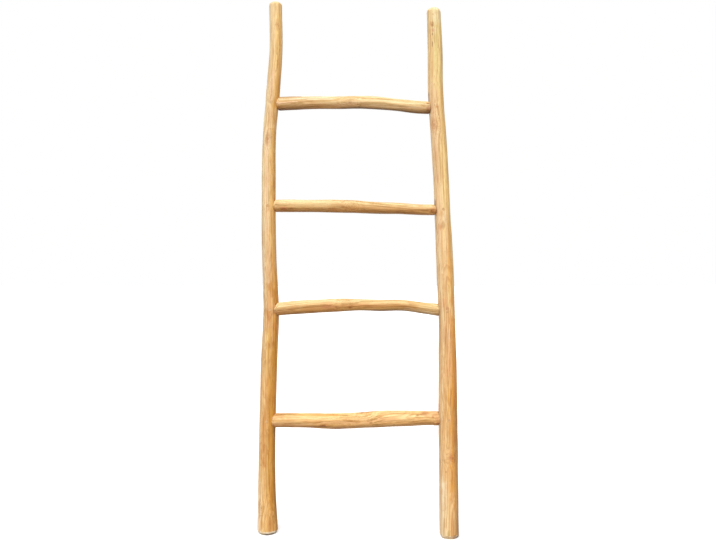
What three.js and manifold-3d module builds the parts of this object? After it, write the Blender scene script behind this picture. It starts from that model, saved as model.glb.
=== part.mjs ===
import * as THREE from 'three';
import { mergeVertices } from 'three/addons/utils/BufferGeometryUtils.js';
import Module from 'manifold-3d';

const wasm = await Module();
wasm.setup();

// Towel ladder of peeled branches: two rails, four rungs between them, and a pin in each joint.
// Millimetres, +Z up. The feet stand on z = 0, the front faces -Y, and +X is the right rail's side.

// Spread of the rails
const footSpacing = 512; // between the rails' centres at the feet
const topSpacing = 445; // between the rails' centres at the tops
const topShift = -11.5; // the tops lie this far off the middle of the feet

// Directions round a branch, in degrees
const front = -90; // of a rail or a rung
const left = 180; // of a rail
const under = 0; // of a rung
const above = 180;

// Rails. Sway is how far a rail strays sideways from the straight line between foot and top, depth
// how far it lies behind the rungs' tenons, and thickness its diameter, at even steps from the foot.
// The top's edge is sanded round to a radius of topRounding.
const leftRail = {
  name: 'left_rail',
  length: 1503,
  topRounding: 11,
  sway: [-1, -4.5, -5.5, -4.5, -3, 0, -6, -9.5, -11, -10.5, -2, 4, 0],
  depth: [8, 6, 5.5, 5.5, 7, 8.5, 6, 1.5, -0.5, -1, 0, 3, 6],
  thickness: [58.5, 50, 47.5, 46.5, 46, 45, 41, 39.5, 39, 37, 38.5, 36.5, 36.5],
  knots: [
    { along: 78, towards: -120, rise: 1.5, reach: 18 },
    { along: 1112, towards: front, rise: 2, reach: 22 },
    { along: 1244, towards: left, rise: 3, reach: 20 },
  ],
  twist: 0.4,
  colour: '#dcae72',
};
const rightRail = {
  name: 'right_rail',
  length: 1478,
  topRounding: 14,
  sway: [-0.5, 2, 5, 7.5, 10.5, 12, 11, 10, 8.5, 5, 0.5, 2, 1],
  depth: [-10, -8, -4, -3, -4, -5, -4, 0, 1.5, 2.5, 0.5, -3, -6],
  thickness: [53.5, 54, 54, 53, 51, 46.5, 48, 46, 43.5, 44.5, 43, 42, 38.5],
  knots: [
    { along: 224, towards: -70, rise: 1.5, reach: 20 },
    { along: 360, towards: left, rise: 3, reach: 24 },
    { along: 1150, towards: -120, rise: 2, reach: 24 },
  ],
  twist: 2.1,
  colour: '#d9a767',
};
const footChamfer = 4.5; // how far in the sawn edge is broken round each foot
const footChamferHeight = 7; // and how far up

// Rungs from the top down: the heights where their tenons meet the rails, and the branch's rise
// above and depth behind the straight line between its tenons, at even steps from the left.
const topRung = {
  name: 'rung_1',
  leftHeight: 1214,
  rightHeight: 1199,
  rise: [0, 4, 7, 8.5, 11, 10.5, 6, 1.5, 0],
  depth: [0, 1, 2, 3, 2, 0, -1, -1, 0],
  thickness: [38, 38, 36, 36, 35, 36, 34, 36, 35],
  knots: [{ along: 225, towards: front, rise: 1.5, reach: 22 }],
  twist: 1.2,
  colour: '#e6bd84',
};
const upperRung = {
  name: 'rung_2',
  leftHeight: 925,
  rightHeight: 913,
  rise: [0, 1.5, 2.5, 3.5, 3.5, 2, 1.5, -0.5, 0],
  depth: [0, -2, -3, -2, 0, 2, 3, 1, 0],
  thickness: [35.5, 35.5, 35, 36, 35, 33.5, 31.5, 30, 31],
  knots: [],
  twist: 0.1,
  colour: '#e2b67b',
};
const lowerRung = {
  name: 'rung_3',
  leftHeight: 632,
  rightHeight: 630,
  rise: [0, 6, 10, 13.5, 15.5, 14.5, 14.5, 6.5, 0],
  depth: [0, 2, 3, 1, -1, -2, -2, 0, 0],
  thickness: [37, 38, 38.5, 38.5, 33.5, 32, 31, 32, 37],
  knots: [{ along: 216, towards: above, rise: 5, reach: 24 }],
  twist: 2.9,
  colour: '#dfb074',
};
const bottomRung = {
  name: 'rung_4',
  leftHeight: 319,
  rightHeight: 328,
  rise: [0, 0, -1.5, -3, -2.5, 0, 0.5, 1, 0],
  depth: [0, -1, -3, -4, -2, 1, 2, 1, 0],
  thickness: [39.5, 39.5, 41, 44, 44, 46, 44.5, 40.5, 39.5],
  knots: [
    { along: 196, towards: under, rise: 1, reach: 24 },
    { along: 275, towards: above, rise: 1.5, reach: 30 },
  ],
  twist: 1.7,
  colour: '#e0b075',
};
const rungs = [topRung, upperRung, lowerRung, bottomRung];
const shoulderInset = 4; // from a rail's centre to the rounded end of a rung's full body
const shoulderLength = 20; // length over which that end is rounded
const shoulderBluntness = 1.7; // 1 is a plain cone, and more is rounder
const shoulderShare = 0.4; // a rung's thickness at that end, as a share of its full thickness

// Joints: a round tenon in a blind bore, held by a pin through the front of the rail
const tenonDiameter = 20;
const wallBehindTenon = 10; // wood left between the bore and the rail's far side
const tenonRoot = 12; // how far the tenon's cylinder runs on inside the rung's body
const pinDiameter = 8;
const pinPastTenon = 4; // how far a pin runs on behind its tenon
const clearance = 0.3; // gap at every fitted face

// How far a branch departs from a circle, as shares of its radius
const ovalLobes = 0.012;
const threeLobes = 0.007;
const knotSteepness = 2; // how steeply a knot falls off to its reach

// How finely the surfaces are divided
const railSides = 18;
const rungSides = 16;
const railRingSpacing = 40;
const rungRingSpacing = 30;
const closestRings = 5; // least distance between two rings
const knotRings = [-1, -0.5, 0, 0.5, 1]; // over a knot, as shares of its reach
const shoulderRings = [0.2, 0.5]; // over a rung's shoulder, as shares of its length
const topRings = [30, 60, 90]; // round the sanded edge of a top, in degrees
const tenonSides = 20;
const pinSides = 14;
const weldDistance = 1e-4; // corners closer than this are one

const pinColour = '#dfae76';
const woodRoughness = 0.62;

// A smooth line through values at even steps, read by the share of the way along it
function smooth(values) {
  const curve = new THREE.SplineCurve(values.map((value, step) => new THREE.Vector2(step, value)));
  return (share) => curve.getPoint(THREE.MathUtils.clamp(share, 0, 1)).y;
}

// A closed body made from a geometry, with its shared corners joined and its collapsed faces left out
function solidOf(geometry) {
  geometry.deleteAttribute('normal');
  geometry.deleteAttribute('uv');
  const merged = mergeVertices(geometry, weldDistance);
  const corners = merged.index.array;
  const faces = [];
  for (let at = 0; at < corners.length; at += 3) {
    const [a, b, c] = [corners[at], corners[at + 1], corners[at + 2]];
    if (a !== b && b !== c && c !== a) faces.push(a, b, c);
  }
  return new wasm.Manifold(new wasm.Mesh({
    numProp: 3,
    vertProperties: new Float32Array(merged.attributes.position.array),
    triVerts: new Uint32Array(faces),
  }));
}

// A named mesh with its own wood finish
function meshOf(name, solid, colour) {
  const { vertProperties, triVerts } = solid.getMesh();
  const geometry = new THREE.BufferGeometry();
  geometry.setAttribute('position', new THREE.BufferAttribute(vertProperties, 3));
  geometry.setIndex(new THREE.BufferAttribute(triVerts, 1));
  geometry.computeVertexNormals();
  const wood = new THREE.MeshStandardMaterial({ color: colour, roughness: woodRoughness, metalness: 0 });
  const mesh = new THREE.Mesh(geometry, wood);
  mesh.name = name;
  return mesh;
}

// A plain round rod from one point to another
function rod(diameter, sides, from, to) {
  const geometry = new THREE.CylinderGeometry(diameter / 2, diameter / 2, from.distanceTo(to), sides);
  const direction = to.clone().sub(from).normalize();
  const turn = new THREE.Quaternion().setFromUnitVectors(new THREE.Vector3(0, 1, 0), direction);
  geometry.applyQuaternion(turn);
  const middle = from.clone().add(to).multiplyScalar(0.5);
  geometry.translate(middle.x, middle.y, middle.z);
  return solidOf(geometry);
}

// The places of a branch's rings: even steps, and closer ones over each knot
function ringPlaces(from, to, spacing, knots) {
  const count = Math.ceil((to - from) / spacing);
  const even = Array.from({ length: count + 1 }, (_, step) => from + ((to - from) * step) / count);
  const close = knots.flatMap(({ along, reach }) => knotRings.map((share) => along + reach * share));
  const inside = close.filter((place) => place > from && place < to);
  const places = [...even, ...inside].sort((a, b) => a - b);
  return places.filter((place, at) => at === 0 || place - places[at - 1] > closestRings || place === to);
}

// A branch turned round its own length from [radius, along] points, then bent to its line.
// Its own axis is Z. `line` gives the centre at a place along it, and `growth` is added to its radius.
function branchGeometry(profile, sides, line, branch, growth) {
  const points = profile.map(([radius, along]) => new THREE.Vector2(radius, along));
  const geometry = new THREE.LatheGeometry(points, sides);
  geometry.rotateX(Math.PI / 2);
  const position = geometry.attributes.position;
  for (let at = 0; at < position.count; at += 1) {
    const along = position.getZ(at);
    const turn = Math.atan2(position.getY(at), position.getX(at));
    let radius = Math.hypot(position.getX(at), position.getY(at));
    if (radius > weldDistance) {
      const oval = ovalLobes * Math.cos(2 * turn + branch.twist);
      const three = threeLobes * Math.cos(3 * turn - 2 * branch.twist);
      const knots = branch.knots.map((knot) => knotRise(knot, along, turn, radius));
      radius = radius * (1 + oval + three) + Math.max(0, ...knots) + growth;
    }
    const [across, deep] = line(along);
    position.setXY(at, across + radius * Math.cos(turn), deep + radius * Math.sin(turn));
  }
  return geometry;
}

// How far a knot lifts the surface at a place along and round the branch
function knotRise(knot, along, turn, radius) {
  const off = turn - THREE.MathUtils.degToRad(knot.towards);
  const round = radius * Math.atan2(Math.sin(off), Math.cos(off));
  const away = Math.hypot(along - knot.along, round) / knot.reach;
  return knot.rise * Math.exp(-knotSteepness * away * away);
}

// A rail's centre line, radius and solid
function makeRail(rail, side) {
  const sway = smooth(rail.sway);
  const depth = smooth(rail.depth);
  const thickness = smooth(rail.thickness);
  const foot = (side * footSpacing) / 2;
  const top = topShift + (side * topSpacing) / 2;
  const line = (height) => {
    const share = height / rail.length;
    return [foot + (top - foot) * share + sway(share), depth(share)];
  };
  const radius = (height) => thickness(height / rail.length) / 2;
  const { topRounding } = rail;
  const places = ringPlaces(footChamferHeight, rail.length - topRounding, railRingSpacing, rail.knots);
  const rounding = topRings.map((degrees) => {
    const lean = THREE.MathUtils.degToRad(degrees);
    const height = rail.length - topRounding * (1 - Math.sin(lean));
    return [radius(height) - topRounding * (1 - Math.cos(lean)), height];
  });
  const profile = [
    [0, 0],
    [radius(0) - footChamfer, 0],
    ...places.map((height) => [radius(height), height]),
    ...rounding,
    [0, rail.length],
  ];
  const grown = (growth) => solidOf(branchGeometry(profile, railSides, line, rail, growth));
  return { ...rail, side, line, radius, grown, body: grown(0) };
}

// A rung's full body between its two rails, before its ends are fitted to them. It is made upright
// and then turned over to the right, so that its own across direction comes to point down.
function rungBody(rung, ends) {
  const rise = smooth(rung.rise);
  const depth = smooth(rung.depth);
  const thickness = smooth(rung.thickness);
  const length = ends.right.x - ends.left.x;
  const line = (along) => {
    const share = along / length;
    return [-(rung.rightHeight - rung.leftHeight) * share - rise(share), depth(share)];
  };
  const radius = (along) => {
    const fromEnd = Math.min(along, length - along) - shoulderInset;
    const open = 1 - THREE.MathUtils.clamp(fromEnd / shoulderLength, 0, 1);
    const full = 1 - (1 - shoulderShare) * open ** shoulderBluntness;
    return (thickness(along / length) / 2) * full;
  };
  const shoulder = [0, ...shoulderRings].map((share) => shoulderInset + share * shoulderLength);
  const inner = shoulderInset + shoulderLength;
  const places = [
    ...shoulder,
    ...ringPlaces(inner, length - inner, rungRingSpacing, rung.knots),
    ...shoulder.toReversed().map((place) => length - place),
  ];
  const profile = [
    [0, places[0]],
    ...places.map((along) => [radius(along), along]),
    [0, places[places.length - 1]],
  ];
  const geometry = branchGeometry(profile, rungSides, line, rung, 0);
  geometry.rotateY(Math.PI / 2);
  geometry.translate(ends.left.x, ends.left.y, ends.left.z);
  return solidOf(geometry);
}

// One joint of a rung with a rail: where it lies, the tenon, the pin, and the holes for both
function makeJoint(rail, height) {
  const [x, railDepth] = rail.line(height);
  const centre = new THREE.Vector3(x, 0, height);
  const outwards = (distance) => new THREE.Vector3(x + rail.side * distance, 0, height);
  const tenonEnd = rail.radius(height) - wallBehindTenon;
  const root = outwards(-(rail.radius(height) + tenonRoot));
  const tenon = rod(tenonDiameter, tenonSides, root, outwards(tenonEnd));
  const bore = rod(tenonDiameter + 2 * clearance, tenonSides, root, outwards(tenonEnd + clearance));
  const backwards = (distance) => new THREE.Vector3(x, distance, height);
  const pinEnd = tenonDiameter / 2 + pinPastTenon;
  const ahead = backwards(railDepth - 2 * rail.radius(height)); // clear of the rail's front
  const pinRod = rod(pinDiameter, pinSides, ahead, backwards(pinEnd));
  const pinHole = rod(pinDiameter + 2 * clearance, pinSides, ahead, backwards(pinEnd + clearance));
  return { centre, tenon, bore, pinHole, pin: pinRod.intersect(rail.body) };
}

const rails = { left: makeRail(leftRail, -1), right: makeRail(rightRail, 1) };
const cutRails = { left: rails.left.body, right: rails.right.body };
const ladder = new THREE.Group();

for (const rung of rungs) {
  const joints = {
    left: makeJoint(rails.left, rung.leftHeight),
    right: makeJoint(rails.right, rung.rightHeight),
  };
  let body = rungBody(rung, { left: joints.left.centre, right: joints.right.centre });
  for (const end of ['left', 'right']) {
    const { tenon, bore, pinHole, pin } = joints[end];
    body = body.subtract(rails[end].grown(clearance)).add(tenon).subtract(pinHole);
    cutRails[end] = cutRails[end].subtract(bore).subtract(pinHole);
    ladder.add(meshOf(`${rung.name}_${end}_pin`, pin, pinColour));
  }
  ladder.add(meshOf(rung.name, body, rung.colour));
}
for (const end of ['left', 'right']) {
  ladder.add(meshOf(rails[end].name, cutRails[end], rails[end].colour));
}

export default ladder;
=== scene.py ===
import math

import bpy
import numpy as np
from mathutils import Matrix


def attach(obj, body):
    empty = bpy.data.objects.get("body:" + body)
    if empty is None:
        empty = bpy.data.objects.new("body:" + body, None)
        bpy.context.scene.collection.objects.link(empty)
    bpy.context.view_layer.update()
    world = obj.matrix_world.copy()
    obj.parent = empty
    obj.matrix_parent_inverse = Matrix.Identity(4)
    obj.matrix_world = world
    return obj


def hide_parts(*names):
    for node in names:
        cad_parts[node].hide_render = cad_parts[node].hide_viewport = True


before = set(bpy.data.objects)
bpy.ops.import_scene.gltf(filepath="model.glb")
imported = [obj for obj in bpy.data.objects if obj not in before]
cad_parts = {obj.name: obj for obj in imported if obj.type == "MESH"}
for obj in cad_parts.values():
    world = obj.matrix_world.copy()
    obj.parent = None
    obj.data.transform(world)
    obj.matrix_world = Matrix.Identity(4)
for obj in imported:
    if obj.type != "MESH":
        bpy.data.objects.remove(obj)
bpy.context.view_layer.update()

# The camera stands level with the ladder's middle and a few centimetres right of it, and is turned
# back towards it.
camera_lens = bpy.data.cameras.new("photo_camera")
camera_lens.sensor_width = 36.0
camera_lens.lens = 34.78
camera = bpy.data.objects.new("photo_camera", camera_lens)
camera_turn = math.radians(1.6)
camera_distance, camera_height, camera_target = 1.950, 0.7442, 0.0002
camera.location = (
    camera_target + camera_distance * math.sin(camera_turn),
    -camera_distance * math.cos(camera_turn),
    camera_height,
)
camera.rotation_euler = (math.pi / 2, 0.0, camera_turn)
bpy.context.scene.collection.objects.link(camera)
bpy.context.scene.camera = camera
bpy.context.scene.view_settings.view_transform = "Standard"


# The rails are two peeled hardwood branches, left as crooked as they grew and sanded by hand. Each
# is sawn off square at the foot with the edge broken, and rounded over at the top. Four blind bores
# from the inner side take the rungs' tenons, and a small hole from the front takes each pin.

foot_spacing, top_spacing, top_shift = 0.512, 0.445, -0.0115
foot_chamfer, foot_chamfer_height = 0.0045, 0.007
clearance = 0.0003
glue_line = 0.00006
tenon_radius = 0.010
wall_behind_tenon = 0.010
tenon_root = 0.012
pin_radius = 0.004
pin_past_tenon = 0.004
rail_sides, rail_ring_step = 96, 0.0025
FRONT, LEFT, UNDER, ABOVE = -90, 180, 0, 180

# A knot is (place along the branch, direction round it in degrees, rise, reach, darkness)
rail_shapes = {}
rail_shapes["left_rail"] = {
    "side": -1,
    "length": 1503,
    "top_rounding": 11,
    "sway": [-1, -4.5, -5.5, -4.5, -3, 0, -6, -9.5, -11, -10.5, -2, 4, 0],
    "depth": [8, 6, 5.5, 5.5, 7, 8.5, 6, 1.5, -0.5, -1, 0, 3, 6],
    "thickness": [58.5, 50, 47.5, 46.5, 46, 45, 41, 39.5, 39, 37, 38.5, 36.5, 36.5],
    "knots": [
        (78, -120, 1.5, 18, 0.35),
        (1112, FRONT, 2, 22, 0.55),
        (1244, LEFT, 3, 20, 0.8),
        (1434, -71, 0, 8, 0.7),
        (303, 25, 0, 10, 0.6),
        (563, 70, 0.8, 15, 0.8),
        (908, 105, 0.5, 12, 0.5),
        (1333, 80, 0.4, 10, 0.7),
    ],
    "twist": 0.4,
    "rough_edge": 0.06,
    "filed_and_lit": 1.6,
    "dirt_side": -62,
    "dirt_focus": 0.6,
    "seed": 11,
}
rail_shapes["right_rail"] = {
    "side": 1,
    "length": 1478,
    "top_rounding": 14,
    "sway": [-0.5, 2, 5, 7.5, 10.5, 12, 11, 10, 8.5, 5, 0.5, 2, 1],
    "depth": [-10, -8, -4, -3, -4, -5, -4, 0, 1.5, 2.5, 0.5, -3, -6],
    "thickness": [53.5, 54, 54, 53, 51, 46.5, 48, 46, 43.5, 44.5, 43, 42, 38.5],
    "knots": [
        (224, -70, 1.5, 20, 0.7),
        (360, LEFT, 3, 24, 0.8),
        (1150, -120, 2, 24, 0.5),
        (1427, -112, 0, 10, 0.9),
        (133, 35, 0, 9, 0.5),
        (663, 75, 0.8, 16, 0.8),
        (988, 110, 0.4, 12, 0.6),
        (1303, 60, 0.5, 12, 0.7),
    ],
    "twist": 2.1,
    "rough_edge": 0.15,
    "filed_and_lit": 0.6,
    "dirt_side": -25,
    "dirt_focus": 3.0,
    "seed": 23,
}
rung_heights = {  # where each rung's tenons meet the left and the right rail
    "rung_1": (1.214, 1.199),
    "rung_2": (0.925, 0.913),
    "rung_3": (0.632, 0.630),
    "rung_4": (0.319, 0.328),
}


def smooth(values, share):
    """A smooth line through values in millimetres at even steps, read in metres at a share of it"""
    values = np.array(values) / 1000
    steps = len(values) - 1
    place = np.clip(share, 0, 1) * steps
    start = np.floor(place).astype(int)
    rest = place - start
    before, here = values[np.maximum(start - 1, 0)], values[start]
    there, after = values[np.minimum(start + 1, steps)], values[np.minimum(start + 2, steps)]
    leave, arrive = (there - before) / 2, (after - here) / 2
    cube = 2 * here - 2 * there + leave + arrive
    square = 3 * there - 3 * here - 2 * leave - arrive
    return ((cube * rest + square) * rest + leave) * rest + here


def ease(value, low, high):
    """0 below low, 1 above high, and a smooth step between them"""
    share = np.clip((value - low) / (high - low), 0, 1)
    return share * share * (3 - 2 * share)


class Branch:
    """A crooked stick. Places on it are told by how far along and which way round they lie, as if
    it stood upright on the origin, and `at` and `straighten` carry them to the ladder and back."""

    ripple_count, flat_every = 26, 0.035

    def __init__(self, shape, length, centre_line, start, axes):
        self.length = length
        self.thickness = shape["thickness"]
        self.knots = [
            (along / 1000, towards, rise / 1000, reach / 1000, dark)
            for along, towards, rise, reach, dark in shape["knots"]
        ]
        self.twist = shape["twist"]
        self.collars = np.array(shape.get("collars", [])) / 1000
        # Its axes are the ways across it, to its back and along it
        self.centre_line, self.start, self.axes = centre_line, start, np.array(axes, dtype=float)
        draw = np.random.default_rng(shape["seed"])
        self.ripples = [
            (draw.integers(1, 8), draw.choice([-1, 1]) / draw.uniform(0.07, 0.45),
             draw.uniform(0, math.tau), draw.uniform(0.00006, 0.00016))
            for _ in range(self.ripple_count)
        ]
        # Long flats left by the drawknife: middle, half length, direction and depth
        self.flats = [
            (draw.uniform(0, self.length), draw.uniform(0.05, 0.19), draw.uniform(-math.pi, math.pi),
             draw.uniform(0.00035, 0.0010))
            for _ in range(int(self.length / self.flat_every))
        ]

    def plain_radius(self, along):
        return smooth(self.thickness, along / self.length) / 2

    def full_radius(self, along, turn):
        """The branch with its knots and its ripples, before it was shaved"""
        radius = self.plain_radius(along)
        lobes = 0.012 * np.cos(2 * turn + self.twist) + 0.007 * np.cos(3 * turn - 2 * self.twist)
        lift = np.zeros_like(along + turn)
        for place, towards, rise, reach, _ in self.knots:
            off = np.angle(np.exp(1j * (turn - math.radians(towards))))
            away = np.hypot(along - place, radius * off) / reach
            # A knot's collar stands proud, and its middle has dried and sunk a little
            collar = rise * np.exp(-2 * away**2) + 0.12 * rise * np.exp(-((away - 0.34) / 0.1) ** 2)
            lift = np.maximum(lift, collar - 0.3 * rise * np.exp(-((away / 0.17) ** 2)))
        ripple = sum(
            height * np.cos(times * turn + math.tau * along * waves + start)
            for times, waves, start, height in self.ripples
        )
        for middle, half, rise in self.collars:
            lift = lift + rise * np.exp(-(((along - middle) / half) ** 2))
        return radius * (1 + lobes) + lift + ripple

    def shaving(self, along, turn):
        """The branch before it was shaved, and how deep the flats cut into it"""
        full = left = self.full_radius(along, turn)
        for middle, half, towards, depth in self.flats:
            window = np.clip(1 - ((along - middle) / half) ** 2, 0, 1)
            facing = np.cos(turn - towards)
            reach = (self.plain_radius(along) - depth * window) / np.maximum(facing, 0.2)
            flat = np.where(facing > 0.2, reach, 1.0)
            soft = 0.0004 * window + 1e-9
            near = np.clip(1 - np.abs(left - flat) / soft, 0, 1)
            left = np.minimum(left, flat) - soft * near**2 / 4
        return full, full - left

    def radius(self, along, turn):
        full, depth = self.shaving(along, turn)
        return full - depth

    def at(self, along, turn, radius):
        """A point of the ladder from its place on the branch"""
        across, deep = self.centre_line(along)
        place = across + radius * np.cos(turn), deep + radius * np.sin(turn), along
        return self.start + np.stack(np.broadcast_arrays(*place), axis=-1) @ self.axes

    def straighten(self, points):
        """Points of the ladder as they lay in the branch, had it grown straight"""
        across, deep, along = np.moveaxis((points - self.start) @ self.axes.T, -1, 0)
        middle, back = self.centre_line(along)
        return np.stack([across - middle, deep - back, along], axis=-1)

    def outside(self, points):
        """How far each point lies out of the branch's surface, across the branch"""
        across, deep, along = np.moveaxis(self.straighten(points), -1, 0)
        return np.hypot(across, deep) - self.radius(along, np.arctan2(deep, across))


def make_rail_branch(shape):
    length = shape["length"] / 1000
    foot = shape["side"] * foot_spacing / 2
    top = top_shift + shape["side"] * top_spacing / 2

    def centre_line(along):
        share = along / length
        across = foot + (top - foot) * share + smooth(shape["sway"], share)
        return across, smooth(shape["depth"], share)

    return Branch(shape, length, centre_line, np.zeros(3), [(1, 0, 0), (0, 1, 0), (0, 0, 1)])


def closed_skin(name, rings, first, last):
    """A closed mesh over rings of points, with a fan of faces to a point at each end"""
    count, sides = rings.shape[:2]
    points = np.concatenate([rings.reshape(-1, 3), [first, last]])
    ring = np.arange(count - 1)[:, None] * sides
    side = np.arange(sides)
    after = (side + 1) % sides
    quads = np.stack([ring + side, ring + after, ring + sides + after, ring + sides + side], axis=-1)
    faces = quads.reshape(-1, 4).tolist()
    faces += [[count * sides, second, one] for one, second in zip(side, after)]
    final = (count - 1) * sides
    faces += [[count * sides + 1, final + one, final + second] for one, second in zip(side, after)]
    mesh = bpy.data.meshes.new(name)
    mesh.from_pydata(points.tolist(), [], faces)
    piece = bpy.data.objects.new(name, mesh)
    bpy.context.scene.collection.objects.link(piece)
    return piece


def rod(name, radius, start, end, sides=64):
    """A plain round cutter that lies level between two points"""
    axis = (end - start) / np.linalg.norm(end - start)
    across = np.cross(axis, [0.0, 0.0, 1.0])
    up = np.cross(axis, across)
    turn = np.linspace(0, math.tau, sides, endpoint=False)[:, None]
    circle = radius * (np.cos(turn) * across + np.sin(turn) * up)
    return closed_skin(name, np.stack([start + circle, end + circle]), start, end)


def cut_out(piece, cutters):
    """Takes the cutters' shapes out of a piece for good"""
    for cutter in cutters:
        bore = piece.modifiers.new("bore", "BOOLEAN")
        bore.operation, bore.solver, bore.object = "DIFFERENCE", "MANIFOLD", cutter
    seen = piece.evaluated_get(bpy.context.evaluated_depsgraph_get())
    solid = bpy.data.meshes.new_from_object(seen)
    piece.modifiers.clear()
    solid.materials.clear()
    whole, piece.data = piece.data, solid
    solid.name = piece.name
    bpy.data.meshes.remove(whole)
    for cutter in cutters:
        bpy.data.meshes.remove(cutter.data)


def read(items, field="co"):
    """Three numbers for each of a mesh's points or normals"""
    values = np.empty(len(items) * 3)
    items.foreach_get(field, values)
    return values.reshape(-1, 3)


def lay_grain(piece, branch, worn_and_highlight, grime_and_shade):
    """Writes where each point lay in the branch as it grew, how deep it was shaved there, how much it
    faces along the grain, how worn it is with painted highlights on lit edges, and how grimy it is with
    painted shade in creases, for the wood's finish to read"""
    mesh = piece.data
    points = read(mesh.vertices)
    place = branch.straighten(points)
    along, turn = place[:, 2], np.arctan2(place[:, 1], place[:, 0])
    probe = 0.0005
    ahead = branch.straighten(points + probe * read(mesh.vertex_normals, "vector"))
    facing = np.abs(ahead[:, 2] - along) / probe
    written = {
        "place": place,
        "shaved": branch.shaving(along, turn)[1],
        "end_grain": ease(facing, 0.55, 0.9),
        "worn_and_highlight": worn_and_highlight,
        "grime_and_shade": grime_and_shade,
    }
    for name, values in written.items():
        kind, field = ("FLOAT_VECTOR", "vector") if values.ndim == 2 else ("FLOAT", "value")
        mesh.attributes.new(name, kind, "POINT").data.foreach_set(field, values.ravel())
    mesh.shade_smooth()
    mesh.set_sharp_from_angle(angle=math.radians(38))


def make_rail(name, shape, branch):
    """The rail's whole skin from the middle of the foot to the middle of the top"""
    turn = np.linspace(-math.pi, math.pi, rail_sides, endpoint=False)
    length, rounding = branch.length, shape["top_rounding"] / 1000
    draw = np.random.default_rng(shape["seed"] + 1)
    # The broken edge of the foot is uneven, because it was filed by hand
    uneven = 1 + sum(
        shape["rough_edge"] * np.cos(times * turn + draw.uniform(0, math.tau)) for times in (1, 2, 3, 5, 8)
    )
    # Its rings, as shares of how far in and how far up it reaches
    edge = [(1.0, 0.0), (0.91, 0.01), (0.84, 0.05), (0.72, 0.2), (0.22, 0.8), (0.08, 0.93), (0.0, 1.12)]
    # All rings, as how high they lie and how far in from the surface
    foot = [(foot_chamfer_height * up * uneven, foot_chamfer * inset * uneven) for inset, up in edge]
    body_start, body_end = foot_chamfer_height + foot_chamfer, length - rounding
    body = [(height, 0) for height in np.linspace(body_start, body_end, int(body_end / rail_ring_step))]
    top = [
        (length - rounding * (1 - math.sin(lean)), rounding * (1 - math.cos(lean)))
        for lean in np.radians(np.linspace(0, 90, 13)[1:])
    ]
    even = [(height + 0 * turn, inset + 0 * turn) for height, inset in body + top]
    height, inset = (np.array(each) for each in zip(*foot, *even))
    radius = branch.radius(height, turn) - inset
    rings = branch.at(height, turn, radius)
    sawn = np.array([0.1, 0.25, 0.4, 0.55, 0.7, 0.85])[:, None]
    below = branch.at(np.zeros((6, rail_sides)), turn, sawn * radius[0])
    over = branch.at(np.full((3, rail_sides), length), turn, sawn[4:1:-1] * radius[-1])
    first, last = branch.at(np.array([0.0, length]), 0.0, 0.0)
    return closed_skin(name + "_wood", np.concatenate([below, rings, over]), first, last)


def rail_at(side):
    return branches["left_rail" if side < 0 else "right_rail"]


def joint_of(side, height):
    """Where a rung's tenon meets a rail: the joint's middle, the tenon's end and root, and the pin"""
    rail = rail_at(side)
    across, deep = rail.centre_line(height)
    radius = rail.plain_radius(height)
    return {
        "centre": np.array([across, 0.0, height]),
        "tenon_end": np.array([across + side * (radius - wall_behind_tenon), 0.0, height]),
        "root": np.array([across - side * (radius + tenon_root), 0.0, height]),
        "pin_front": np.array([across, deep - 2 * radius, height]),
        "pin_end": np.array([across, tenon_radius + pin_past_tenon, height]),
    }


branches = {name: make_rail_branch(shape) for name, shape in rail_shapes.items()}
joints = {
    (rung, side): joint_of(side, height)
    for rung, heights in rung_heights.items()
    for side, height in zip((-1, 1), heights)
}


def pin_hole(joint):
    deeper = joint["pin_end"] + [0, clearance, 0]
    return rod("pin_hole", pin_radius + glue_line, joint["pin_front"], deeper, sides=48)


def colour(code):
    """A screen colour such as #c08a50 in the numbers that Blender takes"""
    parts = [int(code[at:at + 2], 16) / 255 for at in (1, 3, 5)]
    return tuple(p / 12.92 if p <= 0.04045 else ((p + 0.055) / 1.055) ** 2.4 for p in parts) + (1.0,)


class Value:
    """What a shader node hands on by one of its outputs, such as a number or a place"""

    def __init__(self, made, output=0):
        self.socket, self.tree = made.outputs[output], made.id_data
        self.is_place = self.socket.type == "VECTOR"

    def __add__(self, other):
        return reckon("ADD", self, other)

    def __sub__(self, other):
        return reckon("SUBTRACT", self, other)

    def __mul__(self, other):
        return reckon("MULTIPLY", self, other)

    def __truediv__(self, other):
        return reckon("DIVIDE", self, other)

    def __rpow__(self, base):
        return reckon("POWER", base, self)

    def __abs__(self):
        return reckon("ABSOLUTE", self)


def node(kind, sockets=None, tree=None, **settings):
    """A shader node with its settings, and with each socket set or linked. It goes into the tree
    that its values come from, unless a tree is given"""
    sockets = sockets or {}
    tree = tree or next(value.tree for value in sockets.values() if isinstance(value, Value))
    made = tree.nodes.new("ShaderNode" + kind)
    for name, value in settings.items():
        setattr(made, name, value)
    for key, value in sockets.items():
        if isinstance(value, Value):
            tree.links.new(value.socket, made.inputs[key])
        else:
            made.inputs[key].default_value = value
    return made


def reckon(operation, *values, **settings):
    """The outcome of a sum, of places if any of its values is a place and else of numbers"""
    places = any(isinstance(each, tuple) or getattr(each, "is_place", False) for each in values)
    kind = "VectorMath" if places else "Math"
    return Value(node(kind, dict(enumerate(values)), operation=operation, **settings))


def length_of(place):
    return Value(node("VectorMath", {0: place}, operation="LENGTH"), "Value")


def height_of(place):
    return Value(node("SeparateXYZ", {0: place}), "Z")


ACROSS = (1.0, 1.0, 0.0)  # multiplied with this, a place on a branch has no height


def facing_of(place, way):
    """How far a place on a branch faces a way: 1 if straight at it, -1 if straight from it"""
    outwards = reckon("NORMALIZE", place * ACROSS)
    return Value(node("VectorMath", {0: outwards, 1: way}, operation="DOT_PRODUCT"), "Value")


def blend(factor, first, second, kind="MIX"):
    sockets = {0: factor, 6: first, 7: second}
    return Value(node("Mix", sockets, data_type="RGBA", blend_type=kind), 2)


def darkened(wood, layers):
    """Wood multiplied with the tone of each layer, at the layer's strength"""
    for strength, tone in layers:
        wood = blend(strength, wood, colour(tone), "MULTIPLY")
    return wood


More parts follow.
